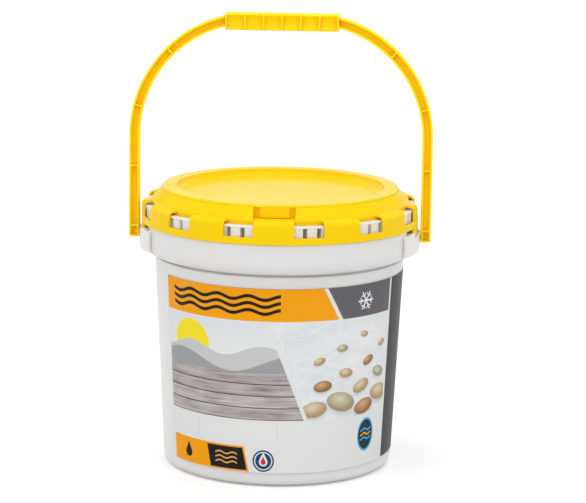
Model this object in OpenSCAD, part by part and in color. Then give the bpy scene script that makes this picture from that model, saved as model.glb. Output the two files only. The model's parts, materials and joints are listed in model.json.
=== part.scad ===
// Insulated bait bucket: a white moulded bucket with a foam liner inside, a yellow ring
// lid with a hinged hatch, and a yellow carrying bail that swings on two side ears.
// The origin is the centre of the base, the front faces -Y and the ears lie on the X axis.

/* [Bucket body] */
// Outer diameter of the body at the floor
base_d = 198.2; // [190:0.2:204]
// Outer diameter of the body at its shoulder
shoulder_d = 215.6; // [214:0.2:218]
// Height of the shoulder, where the body steps in to the neck
shoulder_h = 182.6; // [176:0.2:184]
// Rounding of the corner between the wall and the floor
base_corner_r = 8; // [4:0.5:12]
// Thickness of the moulded wall
shell_wall = 2; // [1.6:0.1:2.6]
// Thickness of the moulded floor
floor_t = 3; // [2.4:0.1:5]
// Diameter of the shallow recess under the floor
foot_recess_d = 164; // [120:1:176]
// Depth of the recess under the floor
foot_recess_t = 1.2; // [0.6:0.1:1.4]

/* [Neck and rim] */
// How far the neck lies inside the shoulder
neck_step = 1.8; // [1.2:0.1:4]
// Height of the top of the rim
rim_h = 227.8; // [226:0.1:229]
// How far both rim flanges stand out from the neck
flange_reach = 11; // [9:0.1:11.2]
// Thickness of the upper rim flange
upper_flange_t = 1.7; // [1.4:0.1:2]
// Thickness of the lower rim flange
lower_flange_t = 2; // [1.4:0.1:2.2]
// Open height between the two rim flanges
flange_gap = 8.8; // [7.5:0.1:9.2]
// Number of blocks on each half of the rim, between the flanges
blocks_a_side = 30; // [12:1:31]
// Angle from the front to the middle of the first block
first_block_angle = 4; // [3:0.1:5]
// Width of one rim block
block_w = 8.4; // [3:0.1:8.6]
// How far the blocks stay behind the edge of the flanges
block_inset = 0.7; // [0.4:0.1:3]

/* [Skirt and ears] */
// How far the skirt stands out past the rim flanges
skirt_step = 1.2; // [0.6:0.1:1.8]
// How far the top of the skirt lies below the rim
skirt_below_rim = 15.4; // [14.6:0.1:16.4]
// Height of the skirt, from its foot to its top
skirt_l = 26.9; // [24:0.1:28]
// Radius of the turned-in foot of the skirt
skirt_r = 10.4; // [8:0.1:10.6]
// Open gap between the skirt's foot and the neck
skirt_gap = 2.6; // [1.5:0.1:4]
// How far the ears stand out past the skirt
ear_step = 0.2; // [0.2:0.1:1]
// Angle that each ear takes up round the bucket
ear_angle = 44; // [38:1:60]
// How far the top of the ears lies below the skirt's top
ear_drop = 3.4; // [2:0.1:6]
// Angle that the pivot pad on each ear takes up
pad_angle = 50; // [46:1:56]
// How far the pivot pads stand out past the ears
pad_step = 3.2; // [2:0.1:5]
// How far the foot of the pivot pads lies below the skirt's top
pad_foot_drop = 21.4; // [19:0.1:21.6]
// Angle of the notch in each pad's top, where the lid's pry tab hangs
notch_angle = 30; // [18:1:34]
// Thickness of the ear's top wall in the notch
pad_top_t = 1.3; // [1:0.1:1.6]
// How far the bail's pivots lie below the skirt's top
pivot_drop = 12.2; // [12:0.1:14]
// Diameter of the bail's pivot studs
stud_d = 5; // [3.4:0.1:5.2]
// Thickness of the pivot stud's head, inside the ear
stud_head_t = 2; // [1.2:0.1:3]
// How far the stud's head stands out past the hole's edge
stud_head_lip = 0.6; // [0.4:0.1:0.8]

/* [Foam liner] */
// Wall thickness of the foam
foam_wall = 14; // [8:0.5:15]
// Floor thickness of the foam
foam_floor = 14; // [8:0.5:30]
// Gap between the foam and the wall at the foam's floor
foam_gap = 0.5; // [0.3:0.1:6]
// How far the foam stays below the rim
foam_below_rim = 0.5; // [0.3:0.1:4]
// Chamfer of the foam's lower outer edge
foam_chamfer = 7; // [6.5:0.5:12]

/* [Ring lid] */
// Gap between the collar and the rim flanges
collar_gap = 0.6; // [0.4:0.05:1]
// Thickness of the lid's sheet
lid_t = 2; // [1.6:0.1:2]
// Outer rounding of the collar's upper corner
collar_corner_r = 5; // [3:0.5:6]
// Height of the locating wall, from the rim to the underside of the shoulder
locate_h = 2.2; // [1.6:0.1:3]
// How far the locating wall lies inside the edge of the rim flange
locate_inset = 6; // [5:0.1:8]
// How far the foot of the cone lies inside the collar's face
cone_setback = 10.1; // [9:0.1:11]
// How far the cone leans in from its foot to its top
cone_lean = 6.8; // [5:0.1:8]
// Rise of the cone above the flat shoulder
cone_rise = 9.3; // [8.5:0.1:12]
// Length of the lip that plugs the foam liner
plug_lip_l = 28; // [12:1:40]
// Number of short cones that make the collar's corner
corner_cones = 5; // [2:1:8]
// Number of windows between the front and each pry tab
front_windows = 3; // [1:1:3]
// Angle from the front to the first window's centre
first_window_angle = 14.4; // [12:0.2:16]
// Angle between the centres of the windows
window_pitch = 28.4; // [26:0.2:28.8]
// Angle that one window takes up
window_angle = 12.4; // [6:0.2:13]
// Angle from the front to the middle of the window over each pry tab
tab_window_at = 93.2; // [92:0.2:96]
// Angle that the window over a pry tab takes up
tab_window_angle = 18.4; // [10:0.2:20]
// Number of windows behind each pry tab
rear_windows = 2; // [1:1:2]
// How far the windows' lower edge lies above the lower rim flange
window_above_flange = 1; // [0.3:0.1:3]
// How far the windows reach in from the collar's face
window_depth = 8.3; // [6:0.1:8.6]
// Angle that the pry tab on each side takes up
tab_angle = 28; // [16:1:28]
// Height between the foot of the pry tab and the pivot pad
tab_gap = 0.5; // [0.4:0.1:3]
// Width of the finger recess at the front
recess_w = 35; // [24:0.5:38]
// How far the finger recess and the hinge pocket reach in from the cone's foot
recess_depth = 9.5; // [9:0.1:10.5]

/* [Hatch] */
// How far the hatch's edge lies inside the top of the cone
hatch_inset = 0.5; // [0.3:0.1:1]
// Thickness of the hatch's sheet
hatch_t = 2; // [1.6:0.1:2.4]
// Rounding of the hatch's upper edge
hatch_edge_r = 1.3; // [0.5:0.1:1.4]
// Width of the flat ring round the dish
dish_margin = 12.3; // [12:0.1:16]
// Depth of the dish, which is also its fillet
dish_depth = 6; // [3:0.1:6.2]
// Diameter of the two vent holes
vent_d = 2.8; // [2:0.1:5]
// How far the vent holes lie inside the hatch's edge
vent_inset = 5.2; // [4:0.1:6]
// Angle of the vent holes from the front
vent_angle = 81.6; // [60:0.2:120]
// Width of the latch tab under the hatch's front edge
latch_w = 25; // [14:0.5:30]
// Thickness of the latch tab
latch_t = 1.5; // [1:0.1:1.8]

/* [Hatch hinge] */
// Width of the hinge pocket at the back
pocket_w = 37; // [32:0.5:38]
// Width of the hatch's hinge barrel
barrel_w = 26; // [18:0.5:27]
// Diameter of the hinge barrel
barrel_d = 5.8; // [5:0.1:6]
// Diameter of the moulded hinge pins
hinge_pin_d = 3.4; // [2.4:0.1:3.8]
// Thickness of the brackets that hold the pins
bracket_t = 3.6; // [2.4:0.1:4]
// Distance of the hinge axis behind the recess wall
hinge_back = 5.6; // [5:0.1:7]
// Height of the hinge axis above the lid's shoulder
hinge_rise = 7.4; // [6.8:0.1:7.6]

/* [Bail] */
// Width of the bail's arms, seen from the front
arm_w = 9; // [8:0.1:12]
// Depth of the bail's arms, front to back
arm_depth = 11; // [9:0.5:14]
// Thickness of the arms' two flanges
arm_flange_t = 2.1; // [1.5:0.1:3]
// Thickness of the arms' web
arm_web_t = 2.4; // [1.6:0.1:4]
// How far the arms reach below the pivot
arm_below_pivot = 3.6; // [3:0.1:8]
// Height of the lowest cross rib above the pivot
first_rib_up = 5.9; // [4.4:0.1:12]
// Height above the pivot at which the arms begin to curve
arm_straight = 85; // [78:0.2:100]
// Radius of the arms' curve, along their middle
arch_r = 103; // [92:0.2:108]
// Spacing of the cross ribs along the straight arms
rib_pitch = 52.6; // [30:0.1:60]
// Distance along the curve from its start to its first cross rib
arch_rib_start = 26.1; // [10:0.1:30]
// Spacing of the cross ribs along the curve
arch_rib_pitch = 55.3; // [40:0.1:60]
// Thickness of the cross ribs
rib_t = 1.5; // [1:0.1:2.5]
// How far the cross ribs stay behind the edges of the arms' flanges
rib_inset = 0.25; // [0.1:0.05:1]
// Length of the hand grip
grip_l = 97.2; // [90:0.2:108]
// Height of the hand grip
grip_h = 14.6; // [13:0.1:18]
// Depth of the hand grip, front to back
grip_depth = 17; // [14:0.5:22]
// How far the middle of the grip lies above the arms' end
grip_rise = -0.3; // [-1:0.1:3]
// Number of hollow cells along the grip
grip_cells = 6; // [3:1:8]
// Thickness of the walls between the cells
grip_wall = 1.7; // [1.2:0.1:3]
// Depth of the hollow in each cell
grip_scoop = 5; // [2:0.1:6]

/* [Label] */
// Thickness of the label film
label_t = 0.4; // [0.2:0.1:0.8]
// Height of the label's lower edge
label_foot_h = 12.6; // [10:0.1:40]
// Height of the label's upper edge
label_top_h = 173.2; // [120:0.1:174]
// Angle from the front to the label's left edge
label_left = 59; // [20:0.5:80]
// Angle from the front to the label's right edge
label_right = 117; // [70:0.5:150]

/* [Clearances] */
// Gap between moving curved faces
run_gap = 0.3; // [0.2:0.05:0.4]
// Radial gap round a pivot stud or a hinge pin
pin_gap = 0.1; // [0.05:0.05:0.1]
// Gap between the collar's foot and the skirt
foot_gap = 0.3; // [0.2:0.1:1]
// Radial gap between the hatch's dish and the lid's mouth
cup_gap = 0.5; // [0.3:0.1:1]
// Gap between the underside of the dish and the ledge below it
ledge_gap = 0.8; // [0.4:0.1:2]
// Gap between the label film and the wall behind it
film_gap = 0.12; // [0.08:0.02:0.2]
// Gap between the plug lip and the foam, where they are closest
plug_gap = 0.5; // [0.3:0.1:1]
// Gap between the foot of the latch tab and the lid's shoulder
latch_gap = 0.5; // [0.4:0.1:4]

/* [Hidden] */
$fn = 128;

// A bite is how far joined solids run into each other, and past is how far cuts run on
bite = 0.6;
past = 20;

base_r = base_d / 2;
shoulder_r = shoulder_d / 2;
neck_r = shoulder_r - neck_step;
flange_r = neck_r + flange_reach;
skirt_or = flange_r + skirt_step;
ear_r = skirt_or + ear_step;
pad_r = ear_r + pad_step;
skirt_h = rim_h - skirt_below_rim;
skirt_foot_h = skirt_h - skirt_l;
ear_foot_h = skirt_foot_h - ear_step;
pad_foot_h = skirt_h - pad_foot_drop;
ear_h = skirt_h - ear_drop;
pivot_h = skirt_h - pivot_drop;
collar_foot_h = skirt_h + foot_gap;
stud_head_r = stud_d / 2 + pin_gap + stud_head_lip;
ear_hollow_h = pivot_h + stud_head_r + run_gap;
pad_h = ear_hollow_h + pad_top_t;
collar_r = flange_r + collar_gap + lid_t;
draft = (shoulder_r - base_r) / shoulder_h;
function body_r(z) = base_r + draft * z;

lower_flange_h = rim_h - upper_flange_t - flange_gap;
window_foot_h = lower_flange_h + window_above_flange;

foam_h = rim_h - foam_below_rim;
foam_top_r = neck_r - shell_wall - run_gap;
foam_base_r = base_r - shell_wall - foam_gap;
foam_taper = (foam_top_r - foam_base_r) / (foam_h - floor_t);
function bore_r(z) = foam_base_r + foam_taper * (z - floor_t) - foam_wall;

shoulder_under = rim_h + locate_h;
lid_shoulder_h = shoulder_under + lid_t;
land_h = lid_shoulder_h + cone_rise;
cone_base_r = collar_r - cone_setback;
cone_top_r = cone_base_r - cone_lean;
hatch_r = cone_top_r - hatch_inset;
hatch_under = land_h;
hatch_top = hatch_under + hatch_t;
dish_r = hatch_r - dish_margin;
dish_under_r = dish_depth + hatch_t;
dish_fillet_x = dish_r - dish_depth;
seat_r = dish_r + hatch_t + cup_gap;
ledge_h = hatch_top - dish_depth - hatch_t - ledge_gap;
tab_foot_h = pad_h + tab_gap;
plug_foot_h = ledge_h + lid_t / 2 - plug_lip_l;
plug_r = bore_r(plug_foot_h) - plug_gap;
recess_root_r = cone_base_r - recess_depth;

hinge_y = recess_root_r + hinge_back;
hinge_z = lid_shoulder_h + hinge_rise;
bracket_x = barrel_w / 2 + run_gap;

arm_in = pad_r + run_gap;
arm_mid = arm_in + arm_w / 2;
rib_w = arm_w - arm_flange_t;
rib_depth = arm_depth - 2 * rib_inset;
arch_x = arm_mid - arch_r;
arch_z = pivot_h + arm_straight;
arch_end = acos((grip_l / 2 - bite - arch_x) / arch_r);
grip_z = arch_z + arch_r * sin(arch_end) + grip_rise;

yellow = "gold";
white = "whitesmoke";

// Turns a profile drawn in radius and height through an angle, middle at an azimuth.
// Azimuth 0 is the front, and positive azimuths go round towards +X.
module sector(azimuth, angle) {
    rotate([0, 0, azimuth - 90 - angle / 2]) rotate_extrude(angle = angle) children();
}

module ring_bar(r1, r2, z1, z2) {
    translate([r1, z1]) square([r2 - r1, z2 - z1]);
}

// Both sides of the bucket, left and right
module each_side() {
    children();
    mirror([1, 0, 0]) children();
}

// Solid outline of the body, inset by a wall; the corner circle touches floor and wall
module body_outline(inset, foot) {
    r = base_corner_r - inset;
    slope = sqrt(1 + draft * draft);
    wall_x = base_r - inset * slope;
    cx = wall_x + draft * (foot + r) - r * slope;
    touch = [cx + r / slope, foot + r - r * draft / slope];
    shoulder_x = shoulder_r - inset;
    polygon([
        [0, foot], [cx, foot], touch, [shoulder_x, shoulder_h - inset],
        [shoulder_x - neck_step, shoulder_h - inset + neck_step],
        [shoulder_x - neck_step, rim_h + (inset > 0 ? past : 0)], [0, rim_h + (inset > 0 ? past : 0)]
    ]);
    translate([cx, foot + r]) circle(r);
}

module shell_profile() {
    difference() {
        body_outline(0, 0);
        body_outline(shell_wall, floor_t);
        translate([0, -past]) square([foot_recess_d / 2, past + foot_recess_t]);
    }
    wall_in = neck_r - shell_wall / 2;
    ring_bar(wall_in, flange_r, rim_h - upper_flange_t, rim_h);
    ring_bar(wall_in, flange_r, lower_flange_h - lower_flange_t, lower_flange_h);
    ring_bar(flange_r - shell_wall, flange_r, skirt_h - shell_wall / 2, lower_flange_h);
}

// The skirt hangs from a ledge on the neck, and its foot turns in along a quarter circle
module skirt_profile() {
    wall_in = neck_r - shell_wall / 2;
    foot_z = skirt_foot_h + skirt_r;
    foot_x = skirt_or - skirt_r;
    ring_bar(wall_in, skirt_or, skirt_h - shell_wall, skirt_h);
    ring_bar(skirt_or - shell_wall, skirt_or, foot_z, skirt_h);
    intersection() {
        translate([foot_x, foot_z]) difference() {
            circle(skirt_r);
            circle(skirt_r - shell_wall);
        }
        ring_bar(neck_r + skirt_gap, skirt_or + past, skirt_foot_h - past, foot_z);
    }
}

module rim_blocks() {
    block_pitch = (180 - first_block_angle) / (blocks_a_side - 0.5);
    each_side() for (i = [0 : blocks_a_side - 1]) {
        rotate([0, 0, first_block_angle + i * block_pitch - 90])
            translate([neck_r - shell_wall / 2, -block_w / 2, lower_flange_h - bite])
                cube([flange_r - block_inset - neck_r + shell_wall / 2, block_w, flange_gap + 2 * bite]);
    }
}

// Section of an ear, with its foot turned in like the skirt's, or of the hollow in it
module ear_profile(r1, inset, top_h) {
    foot_x = ear_r - skirt_r;
    foot_z = ear_foot_h + skirt_r;
    ring_bar(r1, ear_r - inset, foot_z, top_h);
    intersection() {
        translate([foot_x, foot_z]) circle(skirt_r - inset);
        ring_bar(r1, ear_r + past, ear_foot_h - past, foot_z);
    }
    ring_bar(r1, max(foot_x, neck_r + (inset > 0 ? skirt_gap : 0)),
        ear_foot_h - (inset > 0 ? past : 0), foot_z);
}

// An ear is open below, like the skirt. A wall at each end closes it against the skirt,
// its top lies lower than the skirt's, and it is notched there for the lid's pry tab.
module ear() {
    wall_angle = shell_wall / ear_r * 180 / PI;
    cut_in = neck_r - shell_wall;
    inner_r = ear_r - shell_wall;
    difference() {
        union() {
            sector(90, ear_angle + wall_angle)
                ear_profile(neck_r - shell_wall / 2, 0, skirt_h - 2 * ear_step);
            sector(90, pad_angle) ring_bar(inner_r + bite / 4, pad_r, pad_foot_h, ear_h);
        }
        sector(90, ear_angle - wall_angle) ring_bar(cut_in, ear_r + bite, ear_h, skirt_h + past);
        sector(90, notch_angle) ring_bar(cut_in, pad_r + past, pad_h, skirt_h + past);
        sector(90, ear_angle - wall_angle) ear_profile(cut_in, shell_wall, ear_hollow_h);
        translate([inner_r - past / 2, 0, pivot_h]) rotate([0, 90, 0])
            cylinder(r = stud_d / 2 + pin_gap, h = 2 * past);
    }
}

module bucket_shell() {
    skirt_angle = 180 - ear_angle - 0.4;
    color(white) {
        rotate_extrude() shell_profile();
        sector(0, skirt_angle) skirt_profile();
        sector(180, skirt_angle) skirt_profile();
        rim_blocks();
        each_side() ear();
    }
}

module foam_liner() {
    color("gainsboro") rotate_extrude() polygon([
        [0, floor_t], [foam_base_r - foam_chamfer, floor_t],
        [foam_base_r + foam_taper * foam_chamfer, floor_t + foam_chamfer],
        [foam_top_r, foam_h], [bore_r(foam_h), foam_h],
        [bore_r(floor_t + foam_floor), floor_t + foam_floor], [0, floor_t + foam_floor]
    ]);
}

// The film lies on the tapered wall, from the left edge round the front to the right side
module label_wrap() {
    foot_r = body_r(label_foot_h) + film_gap;
    top_r = body_r(label_top_h) + film_gap;
    color("orange") sector((label_right - label_left) / 2, label_left + label_right) polygon([
        [foot_r, label_foot_h], [foot_r + label_t, label_foot_h],
        [top_r + label_t, label_top_h], [top_r, label_top_h]
    ]);
}

// Section of the lid: lower band, flat shoulder, cone, land, hatch seat and plug lip
module lid_profile() {
    locate_r = flange_r - locate_inset;
    seat_out = seat_r + lid_t;
    plug_in = plug_r - lid_t;
    polygon([
        [cone_base_r, lid_shoulder_h], [cone_top_r, land_h], [seat_r, land_h],
        [seat_r, land_h - lid_t], [cone_top_r - lid_t * 0.6, land_h - lid_t],
        [cone_base_r - lid_t * 0.9, shoulder_under], [cone_base_r, shoulder_under]
    ]);
    ring_bar(locate_r - lid_t, locate_r, rim_h, shoulder_under + bite);
    ring_bar(seat_r, seat_out, ledge_h - lid_t, land_h);
    ring_bar(plug_in, seat_out, ledge_h - lid_t, ledge_h);
    ring_bar(plug_in, plug_r, plug_foot_h, ledge_h);
}

// Section of the collar, from the foot of the pry tabs over the corner to the flat shoulder.
// The corner is a few short cones, which windows cut cleanly.
module collar_profile() {
    corner_x = collar_r - collar_corner_r;
    corner_z = lid_shoulder_h - collar_corner_r;
    inner_r = collar_corner_r - lid_t;
    step = 90 / corner_cones;
    ring_bar(collar_r - lid_t, collar_r, tab_foot_h, corner_z);
    polygon(concat(
        [for (a = [0 : step : 90]) [corner_x + collar_corner_r * cos(a), corner_z + collar_corner_r * sin(a)]],
        [for (a = [90 : -step : 0]) [corner_x + inner_r * cos(a), corner_z + inner_r * sin(a)]]
    ));
    ring_bar(cone_base_r - bite, corner_x, shoulder_under, lid_shoulder_h);
}

module window_cut(azimuth, angle) {
    sector(azimuth, angle)
        ring_bar(collar_r - window_depth, collar_r + past, window_foot_h, land_h + past);
}

module window_cuts() {
    window_cut(tab_window_at, tab_window_angle);
    for (i = [0 : front_windows - 1]) {
        window_cut(first_window_angle + i * window_pitch, window_angle);
    }
    for (i = [1 : rear_windows]) {
        window_cut(tab_window_at + (i + 0.1) * window_pitch, window_angle);
    }
}

// Filling under the cone, so that a recess cut in it has walls of its own
module recess_block(w) {
    intersection() {
        rotate_extrude() polygon([
            [recess_root_r - lid_t, shoulder_under], [cone_base_r, shoulder_under],
            [cone_base_r, lid_shoulder_h], [cone_top_r, land_h],
            [recess_root_r - lid_t, land_h]
        ]);
        translate([-w / 2 - lid_t, -collar_r, shoulder_under])
            cube([w + 2 * lid_t, collar_r, land_h]);
    }
}

module recess_cut(w) {
    difference() {
        translate([-w / 2, -collar_r, lid_shoulder_h]) cube([w, collar_r, past]);
        translate([0, 0, lid_shoulder_h - bite]) cylinder(r = recess_root_r, h = 2 * past);
    }
}

// What is cut from the collar's foot between the two pry tabs
module tab_spaces() {
    for (azimuth = [0, 180]) {
        sector(azimuth, 180 - tab_angle)
            ring_bar(collar_r - lid_t - bite, collar_r + past, collar_foot_h - past, collar_foot_h);
    }
}

module vent_drill() {
    each_side() rotate([0, 0, vent_angle - 90])
        translate([hatch_r - vent_inset, 0, land_h - past / 2]) cylinder(d = vent_d, h = past);
}

// One upright bracket of the hinge, standing on the pocket's floor
module bracket() {
    ear_r = barrel_d / 2;
    translate([bracket_x, hinge_y - ear_r, lid_shoulder_h - bite])
        cube([bracket_t, 2 * ear_r, hinge_rise + bite]);
    translate([bracket_x, hinge_y, hinge_z]) rotate([0, 90, 0]) cylinder(r = ear_r, h = bracket_t);
}

module lid_ring() {
    color(yellow) difference() {
        union() {
            difference() {
                union() {
                    rotate_extrude() lid_profile();
                    difference() {
                        rotate_extrude() collar_profile();
                        each_side() window_cuts();
                        tab_spaces();
                    }
                    recess_block(recess_w);
                    rotate([0, 0, 180]) recess_block(pocket_w);
                }
                recess_cut(recess_w);
                rotate([0, 0, 180]) recess_cut(pocket_w);
            }
            each_side() bracket();
        }
        vent_drill();
        translate([-past, hinge_y, hinge_z]) rotate([0, 90, 0])
            cylinder(r = hinge_pin_d / 2 + pin_gap, h = 2 * past);
    }
}

module hatch_profile() {
    rim_x = hatch_r - hatch_edge_r;
    polygon([
        [dish_fillet_x, hatch_under], [hatch_r, hatch_under], [hatch_r, hatch_top - hatch_edge_r],
        [rim_x, hatch_top], [dish_fillet_x, hatch_top]
    ]);
    intersection() {
        translate([rim_x, hatch_top - hatch_edge_r]) circle(hatch_edge_r);
        ring_bar(rim_x, hatch_r, hatch_top - hatch_edge_r, hatch_top);
    }
}

module hatch_body() {
    difference() {
        union() {
            rotate_extrude() hatch_profile();
            rotate_extrude() intersection() {
                translate([dish_fillet_x, hatch_top]) circle(dish_under_r);
                ring_bar(dish_fillet_x, dish_r + hatch_t, hatch_top - dish_under_r, hatch_top);
            }
            translate([0, 0, hatch_top - dish_under_r])
                cylinder(r = dish_fillet_x + 0.01, h = dish_under_r);
        }
        rotate_extrude() intersection() {
            translate([dish_fillet_x, hatch_top]) circle(dish_depth);
            ring_bar(dish_fillet_x, dish_r, hatch_top - dish_depth, hatch_top + past);
        }
        translate([0, 0, hatch_top - dish_depth]) cylinder(r = dish_fillet_x + 0.01, h = past);
    }
}

// The tab hangs just in front of the recess wall and is part of the hatch's rim
module latch_tab() {
    tab_in = recess_root_r + run_gap;
    tab_foot = lid_shoulder_h + latch_gap;
    intersection() {
        rotate_extrude() ring_bar(tab_in, tab_in + latch_t, tab_foot, hatch_under + bite);
        translate([-latch_w / 2, -hatch_r, 0]) cube([latch_w, hatch_r, hatch_top]);
    }
}

module hinge_barrel() {
    arm_t = barrel_d * 0.45;
    arm_y = recess_root_r + run_gap;
    pin_l = 2 * (bracket_x + bracket_t - 2 * pin_gap);
    translate([-barrel_w / 2, hinge_y, hinge_z]) rotate([0, 90, 0]) cylinder(d = barrel_d, h = barrel_w);
    translate([-barrel_w / 2, arm_y, hatch_under - (arm_t - hatch_t / 2)])
        cube([barrel_w, hinge_y - arm_y, arm_t]);
    translate([-pin_l / 2, hinge_y, hinge_z]) rotate([0, 90, 0]) cylinder(d = hinge_pin_d, h = pin_l);
}

module access_hatch() {
    color(yellow) difference() {
        union() {
            hatch_body();
            latch_tab();
            hinge_barrel();
        }
        vent_drill();
    }
}

// Section of an arm: two flanges with rounded edges and a web, about its own middle
module arm_section() {
    for (side = [-1, 1]) {
        translate([side * (arm_w - arm_flange_t) / 2, 0]) {
            square([arm_flange_t, arm_depth - arm_flange_t], center = true);
            for (edge = [-1, 1]) {
                translate([0, edge * (arm_depth - arm_flange_t) / 2]) circle(d = arm_flange_t);
            }
        }
    }
    square([arm_w - arm_flange_t, arm_web_t], center = true);
}

// Straight lower arm with its closed foot, cross ribs and pivot stud
module arm_straight_part() {
    foot_z = pivot_h - arm_below_pivot;
    head_x = ear_r - shell_wall - run_gap - stud_head_t;
    first_rib = pivot_h + first_rib_up;
    translate([arm_mid, 0, foot_z]) linear_extrude(arch_z - foot_z) arm_section();
    for (z = concat([foot_z + rib_t / 2 - rib_inset], [for (h = [first_rib : rib_pitch : arch_z]) h])) {
        translate([arm_mid, 0, z]) cube([rib_w, rib_depth, rib_t], center = true);
    }
    difference() {
        union() {
            translate([head_x, 0, pivot_h]) rotate([0, 90, 0]) cylinder(d = stud_d, h = arm_mid - head_x);
            translate([head_x, 0, pivot_h]) rotate([0, 90, 0]) cylinder(r = stud_head_r, h = stud_head_t);
        }
        translate([head_x - bite, -stud_head_r * 2, pivot_h - stud_d / 10])
            cube([stud_head_t + shell_wall + bite, stud_head_r * 4, stud_d / 5]);
    }
}

// Curved upper arm, with cross ribs of its own that stay well clear of the grip
module arm_arch_part() {
    last_rib = arch_r * arch_end * PI / 180 - arch_rib_pitch / 2;
    translate([arch_x, 0, arch_z]) rotate([90, 0, 0]) {
        rotate_extrude(angle = arch_end) translate([arch_r, 0]) arm_section();
        for (s = [arch_rib_start : arch_rib_pitch : last_rib]) {
            rotate([0, 0, s / arch_r * 180 / PI]) translate([arch_r, 0, 0])
                cube([rib_w, rib_t, rib_depth], center = true);
        }
    }
}

// Grip bar with rounded long edges, hollowed cell by cell on its front and back
module grip() {
    edge_r = grip_h / 4;
    cell_pitch = (grip_l - grip_wall) / grip_cells;
    scoop_r = (grip_h * grip_h / 4 + grip_scoop * grip_scoop) / (2 * grip_scoop);
    difference() {
        translate([-grip_l / 2, 0, grip_z]) rotate([90, 0, 90]) linear_extrude(grip_l) {
            square([grip_depth - 2 * edge_r, grip_h], center = true);
            square([grip_depth, grip_h - 2 * edge_r], center = true);
            for (y = [-1, 1], z = [-1, 1]) {
                translate([y * (grip_depth / 2 - edge_r), z * (grip_h / 2 - edge_r)]) circle(edge_r);
            }
        }
        for (i = [0 : grip_cells - 1], side = [-1, 1]) {
            translate([-grip_l / 2 + grip_wall + i * cell_pitch,
                    side * (grip_depth / 2 - grip_scoop + scoop_r), grip_z])
                rotate([0, 90, 0]) cylinder(r = scoop_r - grip_wall / 2, h = cell_pitch - grip_wall);
        }
    }
}

module bail_handle() {
    color(yellow) {
        each_side() {
            arm_straight_part();
            arm_arch_part();
        }
        grip();
    }
}

bucket_shell();
foam_liner();
label_wrap();
lid_ring();
access_hatch();
bail_handle();
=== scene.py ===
# %% [markdown]
# # Insulated bait bucket: the look
# The bucket is a handful of large mouldings: a white body, a foam liner, a printed film, and
# a yellow lid, hatch and bail. Their shapes arrive finished, as a fixed frame in metres.
# They could be remodelled here, but then they would no longer match the pieces that move, so
# this lesson is about surfaces and light alone. It builds one plastic finish that every
# moulding shares, a bead foam, and a print that wraps a tapered wall.

# %% Load the frame
import json
import math

import bpy
from mathutils import Matrix, Vector

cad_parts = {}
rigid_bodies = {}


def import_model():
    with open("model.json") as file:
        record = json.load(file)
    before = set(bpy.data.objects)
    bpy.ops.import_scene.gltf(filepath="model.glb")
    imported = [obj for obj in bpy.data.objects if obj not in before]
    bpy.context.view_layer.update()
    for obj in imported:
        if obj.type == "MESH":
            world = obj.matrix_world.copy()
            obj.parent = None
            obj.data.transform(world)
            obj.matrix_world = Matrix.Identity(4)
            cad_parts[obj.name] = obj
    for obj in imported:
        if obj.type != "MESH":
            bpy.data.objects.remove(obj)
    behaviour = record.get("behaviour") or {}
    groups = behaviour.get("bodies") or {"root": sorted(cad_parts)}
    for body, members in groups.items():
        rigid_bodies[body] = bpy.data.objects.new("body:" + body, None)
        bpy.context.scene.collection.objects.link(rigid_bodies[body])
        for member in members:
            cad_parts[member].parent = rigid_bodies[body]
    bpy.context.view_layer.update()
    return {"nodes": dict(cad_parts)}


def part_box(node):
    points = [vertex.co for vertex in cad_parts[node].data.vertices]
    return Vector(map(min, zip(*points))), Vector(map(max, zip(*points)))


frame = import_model()
nodes = frame["nodes"]
print("pieces:", ", ".join(sorted(nodes)))

# %% [markdown]
# ## Plain colours
# Blender can bend colours with a film-like view transform, which softens bright light but
# also shifts a strong yellow. Standard shows colours as they are written, which makes it
# possible to judge a plastic by its numbers.

# %% View transform
scene = bpy.context.scene
scene.view_settings.view_transform = "Standard"
print("view transform:", scene.view_settings.view_transform)

# %% [markdown]
# ## Camera
# A product picture is taken from far away with a long lens, so that the rim's ellipse stays
# calm and the sides stay almost parallel. The camera could be dragged until it looks right.
# Here its place and its angles come from a fit of the rim, the base and the bail, and the
# turns are made one by one: pan and tilt give the line of sight, roll turns the frame, and
# the last turn goes round the bucket's own axis.

# %% Camera at the fitted place
PAN, TILT, ROLL, TURN = 0.0051, 0.1917, 0.0144, -0.0439
CAMERA_AT = Vector((0.1009, -2.2964, 0.6309))
LENS_MM = 165.4
SENSOR_MM = 36.0
FARTHEST_SEEN = 50.0

forward = Vector((math.sin(PAN) * math.cos(TILT),
                  math.cos(PAN) * math.cos(TILT),
                  -math.sin(TILT)))
level = Vector((math.cos(PAN), -math.sin(PAN), 0.0))
upward = level.cross(forward)
right = level * math.cos(ROLL) + upward * math.sin(ROLL)
top = upward * math.cos(ROLL) - level * math.sin(ROLL)
around = Matrix.Rotation(-TURN, 3, "Z")
axes = Matrix([around @ right, around @ top, around @ -forward]).transposed()

bpy.ops.object.camera_add(location=CAMERA_AT)
camera = bpy.context.object
camera.matrix_world = Matrix.Translation(CAMERA_AT) @ axes.to_4x4()
camera.data.lens = LENS_MM
camera.data.sensor_width = SENSOR_MM
camera.data.sensor_fit = "HORIZONTAL"
camera.data.clip_end = FARTHEST_SEEN
scene.camera = camera
print("camera distance in m:", round(CAMERA_AT.length, 3), "lens in mm:", LENS_MM)

# %% [markdown]
# ## Arithmetic in a node tree
# A pattern such as a slanted block of print is a sum of comparisons. Adding each Math node by
# hand hides the sum, so a socket is wrapped in a small class whose plus, minus and times add
# the nodes. A soft comparison ramps from 0 to 1 over a stated width, which keeps printed
# edges from looking like stairs.

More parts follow.
